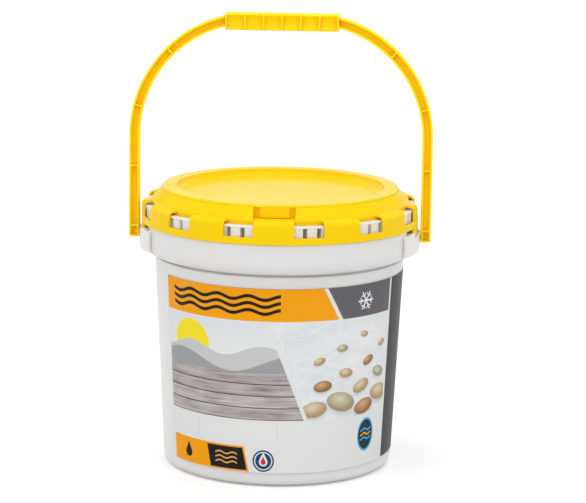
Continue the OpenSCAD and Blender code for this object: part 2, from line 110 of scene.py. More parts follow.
# %% A socket that can be added up
class Field:
    """A value in a node tree; sums, products and comparisons add Math nodes."""

    def __init__(self, tree, socket):
        self.tree = tree
        self.socket = socket

    def math(self, operation, *others):
        node = self.tree.nodes.new("ShaderNodeMath")
        node.operation = operation
        for i, value in enumerate((self,) + others):
            if isinstance(value, Field):
                self.tree.links.new(value.socket, node.inputs[i])
            else:
                node.inputs[i].default_value = value
        return Field(self.tree, node.outputs[0])

    def __add__(self, other):
        return self.math("ADD", other)

    def __sub__(self, other):
        return self.math("SUBTRACT", other)

    def __mul__(self, other):
        return self.math("MULTIPLY", other)

    def __truediv__(self, other):
        return self.math("DIVIDE", other)

    def limited(self):
        return self.math("MINIMUM", 1.0).math("MAXIMUM", 0.0)

    def above(self, edge, soft):
        """0 below the edge and 1 above it, over a ramp as wide as soft."""
        return ((self - edge) / soft + 0.5).limited()

    def below(self, edge, soft):
        """1 below the edge and 0 above it, over a ramp as wide as soft."""
        return ((self - edge) / -soft + 0.5).limited()


print("a Field can be:", ", ".join(n for n in vars(Field) if n[0] != "_"))

# %% [markdown]
# Two colours are mixed by a mask. The Mix node keeps a set of sockets for each kind of value
# under the same names, so the colour sockets are picked by their type.

# %% Mixing two colours
def color_socket(sockets, name):
    return [s for s in sockets if s.name == name and s.type == "RGBA"][0]


def mix(tree, amount, first, second):
    """Mixes two colours, each a socket or a tuple, by a Field or a number."""
    node = tree.nodes.new("ShaderNodeMix")
    node.data_type = "RGBA"
    for name, value in (("A", first), ("B", second)):
        socket = color_socket(node.inputs, name)
        if isinstance(value, tuple):
            socket.default_value = value + (1.0,)
        else:
            tree.links.new(value, socket)
    if isinstance(amount, Field):
        tree.links.new(amount.socket, node.inputs[0])
    else:
        node.inputs[0].default_value = amount
    return color_socket(node.outputs, "Result")


print("mix: amount 0 gives the first colour, amount 1 the second")

# %% [markdown]
# ## Patterns at a real size
# All patterns read Object coordinates. The frame is in metres, so a noise of scale 14 makes
# marks about 70 mm long and a scale of 2600 makes pores under half a millimetre, whatever the
# size of the piece. Generated coordinates would stretch with each piece's box instead.

# %% Noise and cells in metres
FLOW_SCALE, WAVE_SCALE, DUST_SCALE, PORE_SCALE = 14.0, 45.0, 160.0, 2600.0


def object_coords(tree):
    return tree.nodes.new("ShaderNodeTexCoord").outputs["Object"]


def stretched(tree, coords, scale):
    node = tree.nodes.new("ShaderNodeMapping")
    node.inputs["Scale"].default_value = scale
    tree.links.new(coords, node.inputs["Vector"])
    return node.outputs[0]


def noise(tree, coords, scale, detail=3.0, roughness=0.5):
    node = tree.nodes.new("ShaderNodeTexNoise")
    node.inputs["Scale"].default_value = scale
    node.inputs["Detail"].default_value = detail
    node.inputs["Roughness"].default_value = roughness
    tree.links.new(coords, node.inputs["Vector"])
    return Field(tree, node.outputs[0])


def voronoi(tree, coords, scale, feature="F1"):
    node = tree.nodes.new("ShaderNodeTexVoronoi")
    node.feature = feature
    node.inputs["Scale"].default_value = scale
    tree.links.new(coords, node.inputs["Vector"])
    return Field(tree, node.outputs[0])


for scale in (FLOW_SCALE, WAVE_SCALE, DUST_SCALE, PORE_SCALE):
    print("noise of scale", scale, "has marks of about", round(1000.0 / scale, 1), "mm")

# %% [markdown]
# ## Moulded plastic, one finish for every moulding
# Polypropylene comes out of the mould with long faint flow marks, a fine grain, and edges
# that are never quite sharp. Light that enters it comes out again a few millimetres away,
# more saturated, so its hollows glow in a deeper colour and its thin edges look pale. Here
# both are painted into the colour: a shade in the hollows and a highlight along the edges.
# Each material could hold all of this, but five of them share it, so it becomes a node group:
# the group works out colour, roughness and normal, and each material keeps its own shader.

# %% The group and its sockets
def add_sockets(group, in_out, kind, names):
    for name in names:
        group.interface.new_socket(name, in_out=in_out, socket_type="NodeSocket" + kind)


plastic = bpy.data.node_groups.new("moulded_plastic", "ShaderNodeTree")
add_sockets(plastic, "INPUT", "Color", ("Color", "Shade", "Painted Shade", "Edge Highlight"))
add_sockets(plastic, "INPUT", "Float", ("Painted Shade Amount", "Painted Shade Reach", "Edge Highlight Amount"))
add_sockets(plastic, "INPUT", "Float", ("Roughness", "Grain"))
add_sockets(plastic, "OUTPUT", "Color", ("Color",))
add_sockets(plastic, "OUTPUT", "Float", ("Roughness",))
add_sockets(plastic, "OUTPUT", "Vector", ("Normal",))
given = plastic.nodes.new("NodeGroupInput").outputs
result = plastic.nodes.new("NodeGroupOutput").inputs
coords = object_coords(plastic)
print("moulded_plastic takes", [s.name for s in given if s.name])

# %% [markdown]
# The edges come first. A Bevel node rounds the shading normal within 0.6 mm of an edge. Where
# that rounded normal leaves the true one, there is an edge, and the difference of the two
# makes a mask for it, along which a highlight is painted into the colour. A real bevel on
# the mesh would round the edges at a great cost in faces.

# %% Soft edges and a mask for their painted highlight
EDGE_RADIUS = 0.0006
EDGE_AGREEMENT, EDGE_SOFTNESS = 0.93, 0.12

bevel = plastic.nodes.new("ShaderNodeBevel")
bevel.samples = 4
bevel.inputs["Radius"].default_value = EDGE_RADIUS
flat = plastic.nodes.new("ShaderNodeNewGeometry")
agree = plastic.nodes.new("ShaderNodeVectorMath")
agree.operation = "DOT_PRODUCT"
plastic.links.new(bevel.outputs[0], agree.inputs[0])
plastic.links.new(flat.outputs["Normal"], agree.inputs[1])
edge_highlight_mask = Field(plastic, agree.outputs["Value"]).below(EDGE_AGREEMENT, EDGE_SOFTNESS)
print("edges are softened over", EDGE_RADIUS * 1000.0, "mm")

# %% [markdown]
# Plastic flows up from the gate in the bucket's floor, so its marks are long in height, and
# the noise is stretched along Z. Hollows are found by Ambient Occlusion: how much sky a
# point sees within a short reach, and there a shade is painted into the colour. It could be
# painted by hand, but this follows every rib by itself, and it doesn't depend on the camera,
# so the painted shade stays put from every side.

# %% Colour with flow marks, painted shade in hollows and painted highlights on edges
FLOW_STRETCH = (1.0, 1.0, 0.35)
PATCH_FROM, PATCH_GAIN, PATCH_MOST = 0.42, 2.2, 0.6

flow = noise(plastic, stretched(plastic, coords, FLOW_STRETCH), FLOW_SCALE, 4.0, 0.6)
patch = (flow - PATCH_FROM) * PATCH_GAIN
patch = patch.math("MAXIMUM", 0.0).math("MINIMUM", PATCH_MOST)
occlusion = plastic.nodes.new("ShaderNodeAmbientOcclusion")
occlusion.samples = 6
plastic.links.new(given["Painted Shade Reach"], occlusion.inputs["Distance"])
open_sky = Field(plastic, occlusion.outputs["AO"])
# Painted shade: the colour turns to the painted shade colour where little sky is seen.
painted_hollow_shade = (open_sky * -1.0 + 1.0) * Field(plastic, given["Painted Shade Amount"])
tone = mix(plastic, patch, given["Color"], given["Shade"])
tone = mix(plastic, painted_hollow_shade.limited(), tone, given["Painted Shade"])
# Painted highlight: the colour turns to the edge highlight colour along the edges.
tone = mix(plastic, edge_highlight_mask * Field(plastic, given["Edge Highlight Amount"]), tone, given["Edge Highlight"])
plastic.links.new(tone, result["Color"])
print("the colour passes", len([n for n in plastic.nodes if n.type == "MIX"]), "mixes")

# %% [markdown]
# The gloss varies a little along the flow marks and where dust has settled. The grain is a
# bump of fine pores over long shallow waves, which is what keeps a large flat moulding from
# looking like glass. It starts from the bevelled normal, so that both effects add up.

# %% Roughness and grain
DUST_FROM, DUST_SOFTNESS = 0.62, 0.12
FLOW_IN_GLOSS, DUST_IN_GLOSS = 0.12, 0.06
PORE_SHARE = 0.25
GRAIN_HEIGHT = 0.0004

dust = noise(plastic, coords, DUST_SCALE, 5.0, 0.7).above(DUST_FROM, DUST_SOFTNESS)
varied = Field(plastic, given["Roughness"]) + (flow - 0.5) * FLOW_IN_GLOSS + dust * DUST_IN_GLOSS
plastic.links.new(varied.socket, result["Roughness"])

pores = noise(plastic, coords, PORE_SCALE, 2.0)
waves = noise(plastic, coords, WAVE_SCALE, 2.0)
grain = plastic.nodes.new("ShaderNodeBump")
grain.inputs["Distance"].default_value = GRAIN_HEIGHT
plastic.links.new(given["Grain"], grain.inputs["Strength"])
plastic.links.new((pores * PORE_SHARE + waves).socket, grain.inputs["Height"])
plastic.links.new(bevel.outputs[0], grain.inputs["Normal"])
plastic.links.new(grain.outputs[0], result["Normal"])
print("moulded_plastic holds", len(plastic.nodes), "nodes")

# %% [markdown]
# ## White and yellow plastic
# A material places the group, sets its values, and feeds a Principled shader that stays in
# the material. Numbers that are the same all over, such as the gloss coat or the depth that
# light travels, are typed on the shader's own sockets. The specular level is low, because a
# white room mirrored in yellow plastic would wash its colour out.

# %% A material with the shared finish
POLYPROPYLENE_IOR = 1.49
COAT_ROUGHNESS = 0.18


def new_material(name, color):
    material = bpy.data.materials.new(name)
    material.use_nodes = True
    material.diffuse_color = color + (1.0,)
    tree = material.node_tree
    tree.nodes.clear()
    shader = tree.nodes.new("ShaderNodeBsdfPrincipled")
    output = tree.nodes.new("ShaderNodeOutputMaterial")
    tree.links.new(shader.outputs[0], output.inputs["Surface"])
    return material, tree, shader


def place_finish(tree, shader, colors, values):
    """Adds the plastic group, feeds the shader from it and gives back the group's inputs."""
    group = tree.nodes.new("ShaderNodeGroup")
    group.node_tree = plastic
    for name, color in colors.items():
        group.inputs[name].default_value = color + (1.0,)
    for name, value in values.items():
        group.inputs[name].default_value = value
    tree.links.new(group.outputs["Color"], shader.inputs["Base Color"])
    tree.links.new(group.outputs["Roughness"], shader.inputs["Roughness"])
    tree.links.new(group.outputs["Normal"], shader.inputs["Normal"])
    return group.inputs


def plastic_shader(shader, specular, coat, depth, radius, reach):
    """The numbers that are the same all over: gloss, and how far light travels inside."""
    shader.inputs["IOR"].default_value = POLYPROPYLENE_IOR
    shader.inputs["Specular IOR Level"].default_value = specular
    shader.inputs["Coat Weight"].default_value = coat
    shader.inputs["Coat Roughness"].default_value = COAT_ROUGHNESS
    shader.inputs["Subsurface Weight"].default_value = depth
    shader.inputs["Subsurface Radius"].default_value = radius
    shader.inputs["Subsurface Scale"].default_value = reach


print("each material keeps one Principled shader of its own")

# %% [markdown]
# The white of the body is a warm light grey, not pure white: a white wall in a photograph
# still has shading to show. Its hollows get a painted shade of brownish grey, as under the
# skirt. Only in the rim, between the blocks, is the painted colour a light beige instead:
# painted light for the glow that the yellow collar round them lets through. The height of a
# point tells the two apart.

# %% White body
WHITE = (0.80, 0.79, 0.765)
WHITE_SHADE = (0.775, 0.765, 0.74)
# A painted highlight for the edges, a painted shade for the hollows under the skirt, and a painted
# glow from the yellow collar for the hollows in the rim.
WHITE_EDGE_HIGHLIGHT = (0.84, 0.835, 0.81)
SKIRT_PAINTED_SHADE = (0.42, 0.34, 0.27)
RIM_PAINTED_GLOW = (1.0, 0.72, 0.46)
RIM_FROM, RIM_SOFTNESS = 0.207, 0.004


def object_axes(tree):
    """The place of a point as three Fields, in metres."""
    split = tree.nodes.new("ShaderNodeSeparateXYZ")
    tree.links.new(object_coords(tree), split.inputs[0])
    return [Field(tree, axis) for axis in split.outputs]


white, tree, shader = new_material("white_moulded", WHITE)
in_rim = object_axes(tree)[2].above(RIM_FROM, RIM_SOFTNESS)
finish = place_finish(tree, shader,
                      {"Color": WHITE, "Shade": WHITE_SHADE, "Edge Highlight": WHITE_EDGE_HIGHLIGHT},
                      {"Painted Shade Amount": 0.85, "Painted Shade Reach": 0.003, "Edge Highlight Amount": 0.5,
                       "Roughness": 0.36, "Grain": 0.10})
tree.links.new(mix(tree, in_rim, SKIRT_PAINTED_SHADE, RIM_PAINTED_GLOW), finish["Painted Shade"])
plastic_shader(shader, specular=0.2, coat=0.04, depth=0.6, radius=(1.0, 0.95, 0.85), reach=0.006)
print("white body:", white.name, WHITE)

# %% [markdown]
# The three yellow pieces are one plastic from three moulds. The ring is semi-gloss, the hatch
# is polished, and the bail has the coarser grain of a grip. Their hollows get a painted orange
# shade and their edges a painted pale highlight. One material could serve all three, but each
# mould leaves a gloss of its own, so a function makes three from the same recipe.

# %% Yellow ring, hatch and bail
# Painted shade for the hollows and a painted highlight for the edges.
YELLOW_PAINTED_SHADE = (1.0, 0.42, 0.0)
YELLOW_EDGE_HIGHLIGHT = (1.0, 0.80, 0.06)
RING_YELLOW = (1.0, 0.635, 0.002)
HATCH_YELLOW = (1.0, 0.65, 0.002)
BAIL_YELLOW = (1.0, 0.76, 0.003)


def yellow_plastic(name, color, painted_shade_amount, roughness, grain, specular):
    material, tree, shader = new_material(name, color)
    shade = (color[0], color[1] * 0.95, color[2])
    place_finish(tree, shader,
                 {"Color": color, "Shade": shade, "Painted Shade": YELLOW_PAINTED_SHADE, "Edge Highlight": YELLOW_EDGE_HIGHLIGHT},
                 {"Painted Shade Amount": painted_shade_amount, "Painted Shade Reach": 0.009, "Edge Highlight Amount": 0.6,
                  "Roughness": roughness, "Grain": grain})
    plastic_shader(shader, specular, coat=0.02, depth=0.3, radius=(1.0, 0.6, 0.05), reach=0.005)
    print("yellow:", name, "roughness", roughness)
    return material


yellow_ring = yellow_plastic("yellow_ring", RING_YELLOW,
                             painted_shade_amount=0.2, roughness=0.34, grain=0.09, specular=0.07)
yellow_hatch = yellow_plastic("yellow_hatch", HATCH_YELLOW,
                              painted_shade_amount=0.15, roughness=0.28, grain=0.03, specular=0.09)
yellow_bail = yellow_plastic("yellow_bail", BAIL_YELLOW,
                             painted_shade_amount=0.6, roughness=0.38, grain=0.13, specular=0.07)

# %% [markdown]
# ## Bead foam
# The liner is moulded from beads that swell until they press each other flat. Voronoi cells
# are that process: each point belongs to its nearest seed. The distance to the seed gives the
# crown of a bead and the distance to the border gives the dark seam.

# %% Foam liner
BEADS_PER_METRE = 260.0
FOAM_WHITE = (0.80, 0.80, 0.79)
FOAM_SEAM = (0.62, 0.62, 0.61)
FOAM_PATCH = (0.70, 0.70, 0.68)
BEAD_HEIGHT = 0.0006

foam, tree, shader = new_material("bead_foam", FOAM_WHITE)
coords = object_coords(tree)
crown = voronoi(tree, coords, BEADS_PER_METRE)
seam = voronoi(tree, coords, BEADS_PER_METRE, "DISTANCE_TO_EDGE").below(0.06, 0.1)
tone = mix(tree, seam * 0.5, FOAM_WHITE, FOAM_SEAM)
tone = mix(tree, noise(tree, coords, 30.0, 2.0) * 0.15, tone, FOAM_PATCH)
bump = tree.nodes.new("ShaderNodeBump")
bump.inputs["Strength"].default_value = 0.5
bump.inputs["Distance"].default_value = BEAD_HEIGHT
tree.links.new((crown * -1.0 + 1.0).socket, bump.inputs["Height"])
tree.links.new(tone, shader.inputs["Base Color"])
tree.links.new(bump.outputs[0], shader.inputs["Normal"])
shader.inputs["Roughness"].default_value = 0.72
shader.inputs["Subsurface Weight"].default_value = 0.2
shader.inputs["Subsurface Scale"].default_value = 0.004
print("foam beads of about", round(1000.0 / BEADS_PER_METRE, 1), "mm")

# %% [markdown]
# ## Printed film
# The film wraps the tapered wall, so its print is laid out by angle round the bucket and by
# height. An image would need a UV map and a file; angle and height need neither, and the
# blocks can be written as numbers that a printer would know. The angle comes from the arc
# tangent of the two ground coordinates, with 0 at the front, and the height is in mm.

# %% Angle and height on the wall
MM_PER_DEGREE = 1.84

film, tree, shader = new_material("printed_film", (0.86, 0.40, 0.02))


def flat_coords(across, up):
    """Two Fields as flat coordinates in mm, for patterns that follow the film."""
    node = tree.nodes.new("ShaderNodeCombineXYZ")
    tree.links.new(across.socket, node.inputs[0])
    tree.links.new(up.socket, node.inputs[1])
    return node.outputs[0]


side, back, up = object_axes(tree)
angle = side.math("ARCTAN2", back * -1.0) * (180.0 / math.pi)
height = up * 1000.0
arc = angle * MM_PER_DEGREE
sheet = flat_coords(arc, height)
low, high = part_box("label_wrap")
print("film from", round(low.z * 1000.0, 1), "to", round(high.z * 1000.0, 1), "mm high")

# %% [markdown]
# A block is the product of four soft comparisons. A slanted edge moves with the height, so a
# lean is given in degrees per mm. The large bands come first, and each later ink is laid over
# what is there, as a screen printer lays one colour after another.

# %% Blocks of print
PRINT_EDGE = 0.35
BAND_LEFT, BAND_RIGHT = -59.5, 27.0
BAND_HEIGHTS = (145.3, 173.6)
PANEL_HEIGHTS = (14.0, 173.6)
FOOT_HEIGHTS = (13.2, 35.6)
DIVIDER_HEIGHTS = (40.0, 56.0)
DIVIDER_WIDTH = 0.35

ORANGE = (0.87, 0.345, 0.0004)
GREY = (0.125, 0.12, 0.13)
SLATE = (0.048, 0.049, 0.051)
PAPER = (0.745, 0.75, 0.74)
DIVIDER_GREY = (0.62, 0.62, 0.62)


def block(left, right, low, high, lean_left=0.0, lean_right=0.0):
    middle = (low + high) / 2.0
    start = (height - middle) * lean_left + left
    end = (height - middle) * lean_right + right
    inside = (angle - start).above(0.0, PRINT_EDGE) * (end - angle).above(0.0, PRINT_EDGE)
    return inside * height.above(low, PRINT_EDGE) * height.below(high, PRINT_EDGE)


def ink(color, mask, print_color):
    return mix(tree, mask, print_color, color)


printed = ink(ORANGE, block(BAND_LEFT, BAND_RIGHT, *BAND_HEIGHTS, lean_right=-0.287), PAPER)
printed = ink(GREY, block(29.0, 64.0, *BAND_HEIGHTS, lean_left=-0.296), printed)
printed = ink(SLATE, block(65.5, 118.0, *PANEL_HEIGHTS), printed)
printed = ink(ORANGE, block(-57.0, -12.3, *FOOT_HEIGHTS, lean_right=-0.115), printed)
for at in (-38.4, 2.4):
    printed = ink(DIVIDER_GREY, block(at, at + DIVIDER_WIDTH, *DIVIDER_HEIGHTS), printed)
print("orange band is", round((BAND_RIGHT - BAND_LEFT) * MM_PER_DEGREE), "mm long")

# %% [markdown]
# ## The left picture: boards under hills
# Weathered boards are long noise stretched along the grain. Each row takes a shift and a tone
# of its own from its row number, so that the grain breaks off at the joints as on real
# boards. Drawing single boards would give more control, but the eye only reads the grain.

# %% Weathered boards
ROW_MM = 10.4
BOARDS_FROM = 59.0
ROW_SHIFT = 700.0
GRAIN_PER_MM = (0.022, 0.5, 1.0)
STAIN_PER_MM = (0.03, 0.09, 1.0)
WOOD, WOOD_DARK = (0.56, 0.51, 0.50), (0.19, 0.15, 0.15)
WOOD_PALE, WOOD_BROWN = (0.66, 0.63, 0.62), (0.30, 0.25, 0.25)
WOOD_JOINT = (0.035, 0.028, 0.03)

rows = (height - BOARDS_FROM) / ROW_MM
own = tree.nodes.new("ShaderNodeTexWhiteNoise")
own.noise_dimensions = "1D"
tree.links.new(rows.math("FLOOR").socket, own.inputs["W"])
row_tone = Field(tree, own.outputs["Value"])
shifted = flat_coords(arc + row_tone * ROW_SHIFT, height)
board_grain = noise(tree, stretched(tree, shifted, GRAIN_PER_MM), 1.0, 7.0, 0.66)
board_stain = noise(tree, stretched(tree, shifted, STAIN_PER_MM), 1.0, 3.0)
boards = mix(tree, board_grain.above(0.5, 0.24), WOOD, WOOD_DARK)
boards = mix(tree, board_stain.above(0.5, 0.35) * 0.6, boards, WOOD_PALE)
boards = mix(tree, row_tone * 0.35, boards, WOOD_BROWN)
boards = mix(tree, rows.math("FRACT").below(0.07, 0.06), boards, WOOD_JOINT)
print("boards of", ROW_MM, "mm")

# %% [markdown]
# Behind the boards lie two ridges under a pale sky. A ridge is all that lies under a sine
# wave, and the sun is a disc. It is inked before the ridges, so that they cover its foot. The
# boards come last, because they are nearest, and the whole picture is cut to a slanted block.

# %% Hills and a low sun
SLANT = -0.2146
PICTURE_TOP = 143.8
LEFT_PICTURE_LOW = 59.2
LEFT_PICTURE_FROM, LEFT_PICTURE_TO = -58.0, 6.0
BOARDS_TO = 100.5
HAZE, SKY_PALE = (0.78, 0.79, 0.78), (0.70, 0.73, 0.75)
SUN = (0.90, 0.72, 0.02)
FAR_HILL, NEAR_HILL = (0.55, 0.565, 0.56), (0.33, 0.34, 0.35)


def disc(at_angle, at_height, radius, soft=0.8):
    across = (angle - at_angle) * MM_PER_DEGREE
    above = height - at_height
    return (across * across + above * above).math("SQRT").below(radius, soft)


def ridge(turns, shift, swing, base):
    """1 under a wavy line and 0 over it."""
    line = (angle * turns + shift).math("SINE") * swing + base
    return (line - height).above(0.0, 0.8)


hills = mix(tree, height.above(124.0, 34.0), HAZE, SKY_PALE)
hills = ink(SUN, disc(-42.0, 121.0, 20.0), hills)
hills = ink(FAR_HILL, ridge(turns=0.17, shift=2.4, swing=4.5, base=119.0), hills)
hills = ink(NEAR_HILL, ridge(turns=0.11, shift=0.6, swing=7.0, base=108.0), hills)
hills = mix(tree, height.below(BOARDS_TO, 0.8), hills, boards)
left_picture = block(LEFT_PICTURE_FROM, LEFT_PICTURE_TO, LEFT_PICTURE_LOW, PICTURE_TOP,
                     lean_right=SLANT)
printed = ink(hills, left_picture, printed)
print("left picture is", round((LEFT_PICTURE_TO - LEFT_PICTURE_FROM) * MM_PER_DEGREE),
      "mm wide and", round(PICTURE_TOP - LEFT_PICTURE_LOW), "mm high")

# %% [markdown]
# ## The right picture: pebbles in clear water
# The water is a pale ripple with thin bright lines where sunlight gathers. Tracing light
# through waves would be slow and can't be printed anyway. A Voronoi distance to the border
# draws such a net by itself, and a slow noise bends it so that it looks like water.

# %% Water with threads of light
RIPPLE_PER_MM = (0.018, 0.06, 1.0)
SWIRL_PER_MM = (0.05, 0.05, 1.0)
THREADS_PER_MM = 0.055
WATER_PALE, WATER_BLUE = (0.79, 0.80, 0.80), (0.66, 0.70, 0.73)
THREAD_LIGHT = (0.86, 0.87, 0.86)

ripple = noise(tree, stretched(tree, sheet, RIPPLE_PER_MM), 1.0, 3.0, 0.5)
water = mix(tree, ripple.above(0.5, 0.45), WATER_PALE, WATER_BLUE)
swirl = noise(tree, stretched(tree, sheet, SWIRL_PER_MM), 1.0, 2.0)
bent = flat_coords(arc + swirl * 18.0, height * 1.6 + swirl * 14.0)
net = stretched(tree, bent, (THREADS_PER_MM, THREADS_PER_MM, 1.0))
thread = voronoi(tree, net, 1.0, "DISTANCE_TO_EDGE")
water = mix(tree, thread.below(0.03, 0.07) * 0.45, water, THREAD_LIGHT)
print("threads of light about", round(1.0 / THREADS_PER_MM), "mm apart")

# %% [markdown]
# Each pebble is an ellipse: a point is turned into the pebble's own long and short axis, and
# its distance from the middle then gives the outline. The same distance, measured from a
# middle that is moved, gives a light side and, blurred, a shadow. Written out for every
# pebble this would be hundreds of nodes, so one group draws a pebble over a picture.

# %% A group that draws one pebble
STONE_SHADOW = (0.40, 0.43, 0.44)
SHORT_BY_LONG = 0.58


def ellipse(x, y, at_x, at_y, long, short, lean):
    """Distance from the middle of a leaning ellipse, 1 at its outline; x, y are Fields."""
    across = x - at_x
    above = y - at_y
    if isinstance(lean, Field):
        cosine, sine = lean.math("COSINE"), lean.math("SINE")
    else:
        cosine, sine = math.cos(lean), math.sin(lean)
    along = (across * cosine + above * sine) / long
    beside = (above * cosine - across * sine) / short
    return (along * along + beside * beside).math("SQRT")


stone_group = bpy.data.node_groups.new("pebble", "ShaderNodeTree")
add_sockets(stone_group, "INPUT", "Color", ("Picture", "Pale", "Dark"))
add_sockets(stone_group, "INPUT", "Float", ("Speckle", "X", "Y", "At X", "At Y", "Long", "Lean"))
add_sockets(stone_group, "OUTPUT", "Color", ("Color",))
given = stone_group.nodes.new("NodeGroupInput").outputs
x, y, at_x, at_y, long, lean, speckle = (
    Field(stone_group, given[name])
    for name in ("X", "Y", "At X", "At Y", "Long", "Lean", "Speckle"))
short = long * SHORT_BY_LONG
shadow = ellipse(x, y, at_x, at_y - short * 0.38, long * 1.08, short * 1.1, lean)
drawn = mix(stone_group, shadow.below(0.9, 0.5) * 0.5, given["Picture"], STONE_SHADOW)
light = ellipse(x, y, at_x - 1.5, at_y + short * 0.3, long, short, lean)
stone = mix(stone_group, light.above(0.55, 0.9), given["Pale"], given["Dark"])
stone = mix(stone_group, speckle.above(0.56, 0.2) * 0.35, stone, given["Dark"])
outline = ellipse(x, y, at_x, at_y, long, short, lean)
drawn = mix(stone_group, outline.below(1.0, 0.06), drawn, stone)
stone_group.links.new(drawn, stone_group.nodes.new("NodeGroupOutput").inputs["Color"])
print("the pebble group holds", len(stone_group.nodes), "nodes")

# %% [markdown]
# The pebbles lie as in a stream seen from the bank: large and close below, small and far
# above. A scattered pattern would cut some of them at the picture's edge, so each has a place
# of its own. They share one speckle noise, which costs no more for thirteen than for one.

# %% Pebbles in the stream
SPECKS_PER_MM = (0.5, 0.5, 1.0)
SAND = ((0.74, 0.62, 0.44), (0.42, 0.30, 0.15))
RUST = ((0.64, 0.40, 0.19), (0.30, 0.15, 0.06))
OLIVE = ((0.66, 0.62, 0.46), (0.34, 0.30, 0.17))
# Degrees round the bucket, mm up, half the length in mm, lean in radians, stone.
PEBBLES = (
    (20.0, 68.0, 12.0, 0.15, SAND), (34.0, 73.0, 14.5, -0.25, OLIVE),
    (48.0, 66.0, 11.5, 0.2, RUST), (59.0, 75.5, 12.5, -0.1, SAND),
    (45.5, 84.5, 9.5, 0.35, SAND), (24.0, 88.0, 8.5, 0.1, RUST),
    (57.5, 94.0, 8.0, -0.3, OLIVE), (36.0, 98.0, 7.0, -0.1, SAND),
    (49.5, 106.0, 6.5, 0.4, RUST), (22.0, 110.0, 5.5, 0.3, SAND),
    (33.5, 120.0, 5.5, 0.0, OLIVE), (59.0, 119.0, 5.0, 0.2, SAND),
    (46.0, 130.0, 4.5, -0.2, SAND),
)

speckle = noise(tree, stretched(tree, sheet, SPECKS_PER_MM), 1.0, 5.0, 0.65)


def pebble(picture, at_angle, at_height, long, lean, pale, dark):
    node = tree.nodes.new("ShaderNodeGroup")
    node.node_tree = stone_group
    for name, value in (("At X", at_angle * MM_PER_DEGREE), ("At Y", at_height), ("Long", long),
                        ("Lean", lean), ("Pale", pale + (1.0,)), ("Dark", dark + (1.0,))):
        node.inputs[name].default_value = value
    for name, socket in (("X", arc.socket), ("Y", height.socket), ("Speckle", speckle.socket),
                         ("Picture", picture)):
        tree.links.new(socket, node.inputs[name])
    return node.outputs["Color"]


stream = water
for at_angle, at_height, long, lean, (pale, dark) in PEBBLES:
    stream = pebble(stream, at_angle, at_height, long, lean, pale, dark)
printed = ink(stream, block(8.0, 63.7, 58.2, PICTURE_TOP, lean_left=SLANT), printed)
print(len(PEBBLES), "pebbles, up to", 2.0 * max(p[2] for p in PEBBLES), "mm long")

# %% [markdown]
# ## Signs without words
# The bands and badges carry signs that anyone may use: running water, a snow star and a drop.
# They could be cut as thin meshes, but ink has no thickness, so they are masks too. A wave
# line is where the height is close to a sine, and the star is three bars turned by 60 degrees.

# %% Waves, a star and a drop
INK = (0.012, 0.010, 0.011)
STAR_GREY = (0.78, 0.78, 0.79)
FOOT_WAVE = (0.80, 0.42, 0.10)


def wave_line(left, right, middle, swing, per_degree, thick):
    line = (angle * per_degree).math("SINE") * swing + middle
    near = (height - line).math("ABSOLUTE").below(thick / 2.0, 0.5)
    return near * angle.above(left, 0.3) * angle.below(right, 0.3)


def snow_star(at_angle, at_height, arm, thick):
    bars = None
    across = (angle - at_angle) * MM_PER_DEGREE
    above = height - at_height
    for turn in (0.0, math.pi / 3.0, 2.0 * math.pi / 3.0):
        along = (across * math.cos(turn) + above * math.sin(turn)).math("ABSOLUTE")
        away = (above * math.cos(turn) - across * math.sin(turn)).math("ABSOLUTE")
        bar = away.below(thick / 2.0, 0.4) * along.below(arm, 0.5)
        twig = (along - away * 0.6 - arm * 0.55).math("ABSOLUTE").below(thick / 2.2, 0.4)
        bar = bar.math("MAXIMUM", twig * away.below(arm * 0.32, 0.4))
        bars = bar if bars is None else bars.math("MAXIMUM", bar)
    return bars


def drop(at_angle, at_height, radius):
    across = ((angle - at_angle) * MM_PER_DEGREE).math("ABSOLUTE")
    above = height - at_height
    point = (across + above * 0.5).below(radius * 1.12, 0.4) * above.above(radius * 0.3, 0.3)
    return point.math("MAXIMUM", disc(at_angle, at_height, radius, 0.4))


for middle in (153.4, 159.4, 165.4):
    wave = wave_line(-53.0, 3.5, middle, swing=1.7, per_degree=0.42, thick=3.0)
    printed = ink(INK, wave, printed)
printed = ink(STAR_GREY, snow_star(46.0, 158.8, arm=8.6, thick=1.3), printed)
printed = ink(INK, block(-32.4, -13.2, 14.6, 34.0, lean_left=-0.10, lean_right=-0.115), printed)
for middle in (20.3, 24.3, 28.3):
    wave = wave_line(-28.6, -17.0, middle, swing=0.9, per_degree=0.9, thick=1.2)
    printed = ink(FOOT_WAVE, wave, printed)
printed = ink(INK, drop(-45.6, 22.6, 4.2), printed)
print("three waves on the band, a star on the grey, a drop on the orange")

# %% [markdown]
# Two small badges give the lower edge its spots of blue, at the scale of the print round
# them: a round one with a ring and a drop, and a tall one with a pale rim and three waves.
# Discs laid over one another make the rings, each a little smaller than the one before.

# %% Round badge and tall badge
NAVY = (0.020, 0.060, 0.170)
RED = (0.55, 0.035, 0.035)
SKY = (0.060, 0.42, 0.68)
DEEP = (0.012, 0.028, 0.050)
PALE_INK = (0.78, 0.78, 0.78)
ROUND_AT, ROUND_UP, ROUND_RADIUS = -4.0, 23.5, 9.6
TALL_AT, TALL_UP, TALL_HALF, TALL_SIDE = 50.5, 40.0, 15.0, 10.5

for color, inset in ((NAVY, 0.0), (PALE_INK, 1.5), (NAVY, 2.4)):
    printed = ink(color, disc(ROUND_AT, ROUND_UP, ROUND_RADIUS - inset, 0.4), printed)
printed = ink(PALE_INK, drop(ROUND_AT, ROUND_UP - 0.8, 3.8), printed)
printed = ink(RED, drop(ROUND_AT, ROUND_UP - 1.1, 2.2), printed)

